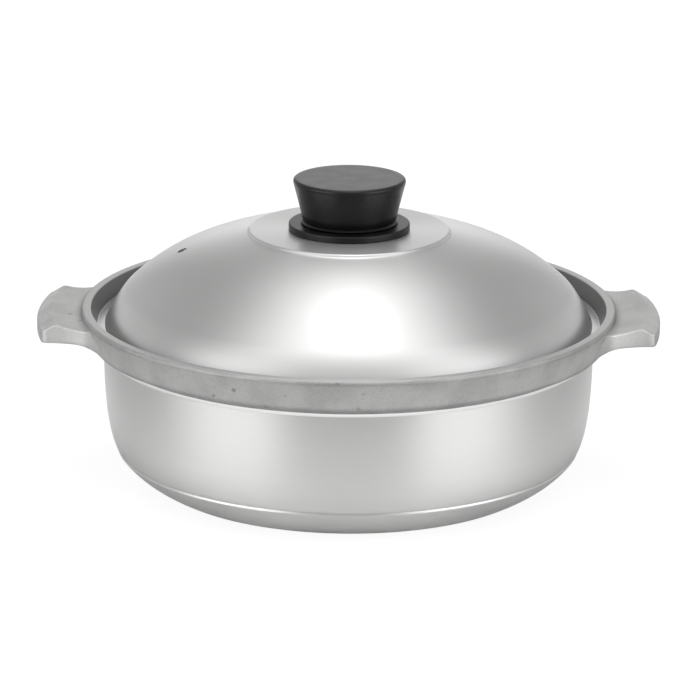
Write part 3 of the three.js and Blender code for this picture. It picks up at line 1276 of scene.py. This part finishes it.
@dataclass
class LidShell:
    """The lid: one domed sheet with a raised flat panel, a vent and a hole for the screw."""

    columns: int = 192
    thickness: float = 1.5
    shoulder_run: float = 11.1
    shoulder_rise: float = 17.3
    panel_radius: float = 51.1
    panel_step: float = 1.5
    step_run: float = 1.5
    step_round: float = 0.9
    brow_share: float = 0.6
    shoulder_shares: Pair = (0.41, 0.25)
    crown_shares: Steps = ((0.34, 0.18), (0.67, 0.35))
    crown_rows: int = 24
    edge_flat: Pair = (0.3, 0.35)
    edge_pull: float = 0.55
    panel_guard: float = 0.3
    panel_lean: float = 0.9
    hole_radius: float = 2.8
    vent_radius: float = 2.5
    vent_share: float = 0.54
    vent_columns: int = 2
    vent_margin: float = 0.1
    vent_reach: float = 5.2

    def __post_init__(self) -> None:
        """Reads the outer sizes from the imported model."""
        low, high = millimetre_box("lid_shell")
        self.edge = Vector((high.x, low.z))
        self.panel_height = high.z
        self.shoulder = self.edge + Vector((-self.shoulder_run, self.shoulder_rise))
        self.step_foot = Vector((self.panel_radius, self.panel_height - self.panel_step))

    def flank(self) -> Outline:
        """Top side of the sheet.

        Returns:
            The line, from its edge up to the foot of the step.
        """
        line = Outline([self.edge])
        line.bend(between(self.shoulder, self.edge, self.shoulder_shares), self.shoulder, 16)
        near, far = (between(self.step_foot, self.shoulder, shares) for shares in self.crown_shares)
        return line.cubic(far, near, self.step_foot, self.crown_rows)

    def outline(self) -> Outline:
        """The whole section of the sheet.

        Returns:
            The line, whose last point joins the first.
        """
        flank = self.flank()
        inner, outer = self.edge_flat
        step_top = Vector((self.panel_radius - self.step_run, self.panel_height))
        hole = Vector((self.hole_radius, self.panel_height))
        under = beside([*flank.points, step_top, hole], self.thickness)
        line = Outline([Vector((self.edge.x - self.thickness + inner, self.edge.y))])
        line.line((self.edge.x - outer, self.edge.y))
        line.bend(self.edge, flank.points[1].lerp(self.edge, self.edge_pull), 4)
        line.line(*flank.points[1:-1])
        brow = Vector((self.panel_radius - self.step_run * self.brow_share, self.panel_height))
        line.corner(self.step_foot, brow, self.step_round)
        line.corner(brow, step_top, self.step_round)
        line.line((step_top.x - self.panel_guard, self.panel_height)).divided(hole, 20)
        line.line(under[-1]).divided(under[-2], 20)
        return line.line(*under[1:-2][::-1])

    def vent_place(self) -> tuple[Vector, float]:
        """Where the vent is.

        Returns:
            Its middle on the top side, and the slope of the sheet there, in radians.
        """
        radius = self.panel_radius + (self.shoulder.x - self.panel_radius) * self.vent_share
        line = Outline(self.flank().points[::-1])
        slope = math.atan2(line.height_at(radius - 1) - line.height_at(radius + 1), 2)
        return Vector((radius, line.height_at(radius))), slope

    def build(self) -> bpy.types.Object:
        """Turns the sheet, cuts the vent and dresses it.

        Returns:
            The piece.
        """
        mesh = turned(self.outline(), self.columns, closed=True)
        self._cut_vent(mesh)
        panel_edge = (self.panel_radius - self.step_run) * MM
        for face in mesh.faces:
            middle = face.calc_center_median()
            face.material_index = int(middle.xy.length < panel_edge and face.normal.z > self.panel_lean)
        piece = finished(mesh, "lid_dome", self.finishes())
        return placed(piece, Body.LID, Slot.SPUN, "lid_shell")

    def finishes(self) -> list[bpy.types.Material]:
        """The lid's materials.

        Returns:
            The dome's finish, and the panel's, which is turned a little coarser.
        """
        return [
            TurnedSatin("lid_satin", (0.63, 0.63, 0.626), 0.32, anisotropy=0.5,
                        height_share=-1.0, ring_size=0.45, ring_depth=0.002, mark=0.2).material(),
            TurnedSatin("panel_satin", (0.64, 0.64, 0.636), 0.38, anisotropy=0.65,
                        ring_size=0.45, ring_depth=0.002, mark=0.3).material(),
        ]

    def _cut_vent(self, mesh: bmesh.types.BMesh) -> None:
        """Opens a round vent through both skins of the sheet, on the left.

        Args:
            mesh: the lid.
        """
        place, slope = self.vent_place()
        middle = Vector((-place.x, 0, place.y)) * MM
        tilt = Matrix.Rotation(-slope, 4, "Y")
        up = tilt.to_3x3() @ Vector((0, 0, 1))
        half_angle = math.tau * (self.vent_columns + self.vent_margin) / self.columns
        rims = []
        for depth in (0.0, self.thickness):
            centre = middle - up * depth * MM
            skin = [face for face in mesh.faces if self._near_vent(face, centre, up, half_angle)]
            inside = set(skin)
            border = list({edge for face in skin for edge in face.edges
                           if len(inside.intersection(edge.link_faces)) == 1})
            bmesh.ops.delete(mesh, geom=skin, context="FACES")
            bmesh.ops.subdivide_edges(mesh, edges=border, cuts=1)
            border = [edge for edge in mesh.edges if edge.is_boundary and not
                      any(edge in rim for rim in rims)]
            place_matrix = Matrix.Translation(centre) @ tilt
            ring = bmesh.ops.create_circle(mesh, cap_ends=False, segments=len(border),
                                           radius=self.vent_radius * MM, matrix=place_matrix)
            rim = list({edge for vert in ring["verts"] for edge in vert.link_edges})
            bmesh.ops.bridge_loops(mesh, edges=border + rim)
            rims.append(rim)
        bmesh.ops.bridge_loops(mesh, edges=rims[0] + rims[1])
        tidied(mesh)

    def _near_vent(self, face: bmesh.types.BMFace, centre: Vector, up: Vector, half_angle: float) -> bool:
        """Whether a face lies on one skin, within reach of the vent.

        Args:
            face: the face.
            centre: middle of the vent on that skin, in metres.
            up: the sheet's normal there.
            half_angle: half the angle that the cut takes, in radians.

        Returns:
            Whether it does.
        """
        middle = face.calc_center_median()
        angle = abs(math.atan2(middle.y, -middle.x))
        near = abs(middle.xy.length - abs(centre.x)) < self.vent_reach * MM
        return near and angle < half_angle and abs((middle - centre).dot(up)) < 0.5 * self.thickness * MM


# The knob, its seat and its hardware


@dataclass
class Knob:
    """Black knob on its seat ring, with the screw and washers that hold it."""

    columns: int = 128
    neck_radius: float = 24.6
    neck_height: float = 6.0
    neck_draft: float = 1.3
    neck_round: float = 12.0
    lip_reach: float = 1.15
    lip_heights: Pair = (0.05, 0.8)
    flare: float = 4.2
    rim_drop: float = 2.7
    top_inset: float = 2.5
    socket_radius: float = 4.8
    socket_clearance: float = 0.3
    seat_foot_round: float = 0.35
    seat_edge_round: float = 0.7
    seat_boss_height: float = 0.4
    seat_boss_radius: float = 20.0
    hole_radius: float = 2.8
    washer_columns: int = 96
    washer_chamfer: float = 0.15
    washer_round: float = 0.2
    washer_split: float = 1.0
    screw_columns: int = 64
    screw_crease: float = 30.0
    shank_radius: float = 2.5
    head_height: float = 3.2
    head_flat_share: float = 0.5
    head_round: float = 0.2
    cross_size: tuple[float, float, float] = (5.4, 1.2, 3.6)
    cross_taper: Pair = (0.5, 0.8)

    def grip(self) -> bpy.types.Object:
        """The tapered knob, with a steeper neck and a fine lip at its foot.

        Returns:
            The piece.
        """
        low, high = millimetre_box("knob_grip")
        _, insert_high = millimetre_box("knob_insert")
        corner = Vector((self.neck_radius + self.flare, high.z))
        neck = Vector((self.neck_radius, low.z + self.neck_height))
        share = self.rim_drop / (high.z - neck.y)
        rim = between(corner, neck, (share, share))
        ceiling = insert_high.z + self.socket_clearance
        foot = Vector((self.neck_radius - self.neck_draft, low.z))
        lip_edge = low.z + self.lip_heights[0]
        lip_share = self.lip_heights[1] / self.neck_height
        line = Outline([Vector((0, ceiling))])
        line.line((self.socket_radius, ceiling), (self.socket_radius, low.z))
        line.line((foot.x + self.lip_reach, low.z), (foot.x + self.lip_reach, lip_edge),
                  between(foot, neck, (lip_share, lip_share)))
        line.corner(neck, rim, self.neck_round, 8)
        line.divided(rim, 8)
        line.bend(corner, Vector((corner.x - self.top_inset, high.z)), 12)
        line.divided((0, high.z), 10)
        # Heights over which the knob grows paler upwards, partly handling wear and partly painted light.
        worn_and_lit_heights = (low.z + self.neck_height, neck.y + 2 * self.neck_height)
        finish = MouldedResin("resin_knob", (0.006, 0.006, 0.0062), 0.29, metallic=0.0, gloss=0.27,
                              worn_and_lit_heights=worn_and_lit_heights)
        piece = finished(turned(line, self.columns), "grip", [finish.material()])
        return placed(piece, Body.LID, Slot.RESIN, "knob_grip")

    def seat(self) -> bpy.types.Object:
        """The ring between the lid and the knob.

        Returns:
            The piece.
        """
        low, high = millimetre_box("knob_seat")
        top = high.z - self.seat_boss_height
        outer, boss = high.x, self.seat_boss_radius
        line = Outline([Vector((self.hole_radius, low.z))])
        line.corner((outer, low.z), (outer, top), self.seat_foot_round, 3)
        line.corner((outer, top), (boss, top), self.seat_edge_round)
        line.line((boss, top), (boss, high.z), (self.hole_radius, high.z))
        finish = MouldedResin("resin_seat", (0.003, 0.003, 0.0032), 0.34, metallic=0.0, gloss=0.3)
        piece = finished(turned(line, self.columns, closed=True), "seat_ring", [finish.material()])
        return placed(piece, Body.LID, Slot.RESIN, "knob_seat")

    def washers(self, steel: bpy.types.Material) -> list[bpy.types.Object]:
        """The flat washer and the split one.

        Args:
            steel: their material.

        Returns:
            Both pieces.
        """
        pieces = []
        inner, chamfer = self.hole_radius, self.washer_chamfer
        for node, split in (("plain_washer", 0.0), ("spring_washer", self.washer_split)):
            low, high = millimetre_box(node)
            outer = high.y
            line = Outline([Vector((inner, low.z + chamfer))])
            line.line((inner + chamfer, low.z))
            line.corner((outer, low.z), (outer, high.z), self.washer_round, 3)
            line.corner((outer, high.z), (inner, high.z), self.washer_round, 3)
            line.line((inner + chamfer, high.z), (inner, high.z - chamfer))
            opening = split / outer
            mesh = turned(line, self.washer_columns, closed=True, angle=math.tau - opening, start=opening / 2)
            pieces.append(placed(finished(mesh, f"{node}_steel", [steel]), Body.LID, Slot.STEEL, node))
        return pieces

    def screw(self, steel: bpy.types.Material) -> bpy.types.Object:
        """The pan-head screw with a cross recess, head down.

        Args:
            steel: its material.

        Returns:
            The piece.
        """
        low, high = millimetre_box("knob_screw")
        head_radius, shank, head = high.y, self.shank_radius, self.head_height
        head_top = low.z + head
        line = Outline([Vector((0, low.z))])
        line.line((head_radius * self.head_flat_share, low.z))
        line.bend(Vector((head_radius, low.z)), Vector((head_radius, low.z + head / 2)), 10)
        line.corner((head_radius, head_top), (shank, head_top), self.head_round, 3)
        line.line((shank, head_top), (shank, high.z - shank / 2), (shank / 2, high.z), (0, high.z))
        piece = finished(turned(line, self.screw_columns), "screw", [steel])
        cutter = self._cross(low.z)
        cut = piece.modifiers.new("cross", "BOOLEAN")
        cut.operation, cut.solver, cut.object = "DIFFERENCE", "EXACT", cutter
        # The tool's two bars cross, and without this the cut leaves no faces at all.
        cut.use_self = True
        applied(piece)
        bpy.data.objects.remove(cutter)
        piece.data.shade_smooth()
        piece.data.set_sharp_from_angle(angle=math.radians(self.screw_crease))
        return placed(piece, Body.LID, Slot.STEEL, "knob_screw")

    def _cross(self, foot: float) -> bpy.types.Object:
        """Tool for the cross recess, which narrows as it goes in.

        Args:
            foot: height of the head's face.

        Returns:
            The tool, which is removed after use.
        """
        mesh = bmesh.new()
        bar = Matrix.Diagonal((*(size * MM for size in self.cross_size), 1))
        for turn in (0.0, math.pi / 2):
            made = bmesh.ops.create_cube(mesh, size=1, matrix=bar)
            for vert in made["verts"]:
                if vert.co.z > 0:
                    vert.co.x *= self.cross_taper[0]
                    vert.co.y *= self.cross_taper[1]
            bmesh.ops.rotate(mesh, verts=made["verts"], cent=(0, 0, 0), matrix=Matrix.Rotation(turn, 3, "Z"))
            bmesh.ops.translate(mesh, verts=made["verts"], vec=(0, 0, foot * MM))
        return finished(mesh, "cross_tool", [])

    def build(self) -> list[bpy.types.Object]:
        """Makes every piece of the knob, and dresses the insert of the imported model.

        Returns:
            The pieces.
        """
        steel = DrawnMetal("bright_steel", (0.6, 0.6, 0.61), 0.28).material()
        pieces = [self.grip(), self.seat(), self.screw(steel), *self.washers(steel)]
        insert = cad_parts["knob_insert"]
        insert.data.materials.clear()
        insert.data.materials.append(DrawnMetal("turned_brass", (0.71, 0.5, 0.2), 0.32).material())
        return pieces


# Studio


@dataclass(frozen=True)
class Lamp:
    """A round soft lamp, with its place and width in metres and its power in watts."""

    name: str
    place: tuple[float, float, float]
    size: float
    power: float


@dataclass
class Studio:
    """Camera, floor, lamps and the pale set that the metal reflects. Angles are in degrees."""

    floor_radius: float = 6.0
    floor_drop: float = 0.0002
    floor_white: float = 0.92
    floor_dim: float = 0.46
    floor_glow: float = 1.08
    floor_glow_share: float = 0.83
    # Painted pool of light and painted contact shadow, seen only in reflections.
    pool: Pair = (215.0, 365.0)
    pool_turns: Pair = (150.0, 115.0)
    pool_side_turns: Steps = ((35.0, 70.0), (125.0, 95.0))
    pool_sides: float = 45.0
    contact_shadow_radii: Pair = (150.0, 115.0)
    contact_shadow_turns: Pair = (15.0, 45.0)
    contact_shadow_share: float = 0.6
    ambient: float = 0.55
    dome_radius: float = 5.5
    dome_sink: float = 0.001
    base_glow: float = 0.46
    drift_climbs: Pair = (95.0, 60.0)
    drifts: Pair = (3.0, 1.2)
    strip_widths: tuple[float, float, float] = (20.0, 105.0, 45.0)
    strip_climbs: Steps = ((40.0, 60.0), (148.0, 118.0))
    strip_glow: float = 1.33
    core_width: float = 5.0
    core_climbs: Steps = ((72.0, 84.0), (110.0, 98.0))
    core_glow: float = 2.5
    box_turns: Steps = ((24.0, 38.0), (100.0, 60.0))
    box_height: float = 18.0
    box_glow: float = 5.2
    side_turns: Steps = ((90.0, 115.0), (165.0, 140.0))
    side_height: float = 25.0
    side_glow: float = 0.35
    back_climbs: Steps = ((142.0, 172.0), (158.0, 175.0))
    back_width: float = 14.0
    back_glows: Pair = (0.9, 0.1)
    lamp_aim: tuple[float, float, float] = (0.0, 0.0, 0.06)
    lamp_set: tuple[Lamp, ...] = (
        Lamp("lamp_above", (0.0, -0.2, 2.2), 2.0, 26.0),
        Lamp("lamp_left", (-1.8, -1.2, 1.4), 1.4, 11.0),
        Lamp("lamp_right", (1.8, -1.2, 1.4), 1.4, 11.0),
    )
    lens: float = 211.78
    sensor: float = 36.0
    camera_place: tuple[float, float, float] = (0.0, -2.0, 0.6566)
    camera_pitch: float = 73.51
    camera_roll: float = 0.4
    shift: float = 1.6 / 700

    def camera(self) -> None:
        """Sets the camera where the photograph was taken from."""
        data = bpy.data.cameras.new("studio_camera")
        data.lens, data.sensor_width, data.shift_x = self.lens, self.sensor, self.shift
        camera = bpy.data.objects.new("studio_camera", data)
        camera.matrix_world = (Matrix.Translation(self.camera_place)
                               @ Matrix.Rotation(math.radians(self.camera_pitch), 4, "X")
                               @ Matrix.Rotation(math.radians(self.camera_roll), 4, "Z"))
        bpy.context.scene.collection.objects.link(camera)
        bpy.context.scene.camera = camera
        bpy.context.scene.view_settings.view_transform = "Standard"

    def floor(self) -> None:
        """Lays the pale floor, which shows white to the camera and keeps the pot's shadow.

        In reflections the metal sees it with a painted pool of light round the pot, a painted shadow close
        beside the pot's flanks, and painted dimming further out, sooner at the sides and not at all at the
        back.
        """
        mesh = bmesh.new()
        bmesh.ops.create_circle(mesh, cap_ends=True, segments=96, radius=self.floor_radius,
                                matrix=Matrix.Translation((0, 0, -self.floor_drop)))
        material = bpy.data.materials.new("studio_floor")
        material.use_nodes = True
        shade = Shade(material.node_tree)
        paint, dim = (shade.node("ShaderNodeBsdfDiffuse", None, {"Color": (grey, grey, grey, 1)})
                      for grey in (self.floor_white, self.floor_dim))
        glow = shade.node("ShaderNodeEmission", None, {"Color": (1, 1, 1, 1), "Strength": self.floor_glow})
        path = shade.node("ShaderNodeLightPath")
        seen, mirrored = (Signal(shade, path.outputs[name]) for name in ("Is Camera Ray", "Is Glossy Ray"))
        share = seen * self.floor_glow_share
        x, y, _ = shade.axes()
        turn = (x.math("ARCTAN2", x, -1 * y) * DEGREES).absolute()
        away = shade.radius() + turn.window(*self.pool_side_turns) * self.pool_sides
        # Painted shadow beside the pot's flanks and painted dimming further out, for glossy rays only.
        painted_contact_shadow = shade.radius().ramp(*self.contact_shadow_radii) * turn.ramp(*self.contact_shadow_turns) * self.contact_shadow_share
        far = mirrored * (away.ramp(*self.pool) * turn.ramp(*self.pool_turns) + painted_contact_shadow)
        near = shade.node("ShaderNodeMixShader", None, {0: share, 1: paint.outputs[0], 2: glow.outputs[0]})
        whole = shade.node("ShaderNodeMixShader", None, {0: far, 1: near.outputs[0], 2: dim.outputs[0]})
        shade.node("ShaderNodeOutputMaterial", None, {"Surface": whole.outputs[0]})
        finished(mesh, "studio_floor", [material])

    def lamps(self) -> None:
        """Hangs the soft lamps, which light the floor and the resin but don't mirror in the metal."""
        for lamp in self.lamp_set:
            data = bpy.data.lights.new(lamp.name, "AREA")
            data.shape, data.size, data.energy = "DISK", lamp.size, lamp.power
            light = bpy.data.objects.new(lamp.name, data)
            aim = Vector(self.lamp_aim) - Vector(lamp.place)
            turn = aim.to_track_quat("-Z", "Y").to_matrix().to_4x4()
            light.matrix_world = Matrix.Translation(lamp.place) @ turn
            light.visible_glossy = False
            bpy.context.scene.collection.objects.link(light)

    def world(self) -> None:
        """Makes the background white and the surrounding light plain."""
        world = bpy.data.worlds.new("studio_world")
        bpy.context.scene.world = world
        world.use_nodes = True
        shade = Shade(world.node_tree)
        path = shade.node("ShaderNodeLightPath")
        seen = sum((Signal(shade, path.outputs[name]) for name in ("Is Glossy Ray", "Is Transmission Ray")),
                   Signal(shade, path.outputs["Is Camera Ray"]))
        seen = seen.math("MINIMUM", seen, 1.0)
        strength = seen * (1 - self.ambient) + self.ambient
        light = shade.node("ShaderNodeBackground", None, {"Color": strength, "Strength": 1.0})
        shade.node("ShaderNodeOutputWorld", None, {"Surface": light.outputs[0]})

    def set_pieces(self) -> None:
        """Puts the pale dome over the set, which only reflections see."""
        mesh = bmesh.new()
        bmesh.ops.create_uvsphere(mesh, u_segments=96, v_segments=48, radius=self.dome_radius)
        bmesh.ops.bisect_plane(mesh, geom=mesh.verts[:] + mesh.edges[:] + mesh.faces[:],
                               plane_co=(0, 0, -self.dome_sink), plane_no=(0, 0, 1), clear_inner=True)
        material = bpy.data.materials.new("studio_dome")
        material.use_nodes = True
        shade = Shade(material.node_tree)
        glow = shade.node("ShaderNodeEmission", None, {"Color": self._glow(shade), "Strength": 1.0})
        shade.node("ShaderNodeOutputMaterial", None, {"Surface": glow.outputs[0]})
        dome = finished(mesh, "studio_dome", [material])
        for hidden in ("camera", "diffuse", "transmission", "volume_scatter", "shadow"):
            setattr(dome, f"visible_{hidden}", False)

    def _glow(self, shade: Shade) -> Signal:
        """How bright the dome is in each direction.

        It has a strip overhead with a bright core, a box at either side, a faint light further round behind
        each box, and a pale back. Climb goes from the front over the top, and turn from the front round.

        Args:
            shade: the dome's node tree.

        Returns:
            The brightness, where 1 is white.
        """
        x, y, z = (axis * (MM / self.dome_radius) for axis in shade.axes())
        sideways = x.math("ARCSINE", x) * DEGREES
        climb = x.math("ARCTAN2", z, -1 * y) * DEGREES
        turn = (x.math("ARCTAN2", x, -1 * y) * DEGREES).absolute()
        height = x.math("ARCSINE", z) * DEGREES
        widest, widest_climb, fold = self.strip_widths
        width = x.math("EXPONENT", (widest_climb - climb) / fold) * widest
        off_strip = sideways - (climb.ramp(*self.drift_climbs) * self.drifts[0] + self.drifts[1])
        strip = off_strip.bell(0, width) * climb.window(*self.strip_climbs) * self.strip_glow
        core = off_strip.bell(0, self.core_width) * climb.window(*self.core_climbs) * self.core_glow
        box = turn.window(*self.box_turns) * height.bell(0, self.box_height) * self.box_glow
        side = turn.window(*self.side_turns) * height.bell(0, self.side_height) * self.side_glow
        low_back, high_back = (climb.ramp(*climbs) for climbs in self.back_climbs)
        middle_glow, rest_glow = self.back_glows
        back = (low_back * (sideways.bell(0, self.back_width) * middle_glow - rest_glow)
                + high_back * rest_glow)
        return self.base_glow + strip + core + box + side + back

    def build(self) -> None:
        """Sets up everything round the pot."""
        self.camera()
        self.floor()
        self.lamps()
        self.world()
        self.set_pieces()
        log.info("studio: camera, floor, lamps, world and dome")


def main() -> None:
    """Builds the studio and every piece of the pot."""
    logging.basicConfig(level=logging.INFO, format="%(name)s: %(message)s")
    Studio().build()
    PotCasting().build()
    LidShell().build()
    Knob().build()


if __name__ == "__main__":
    main()
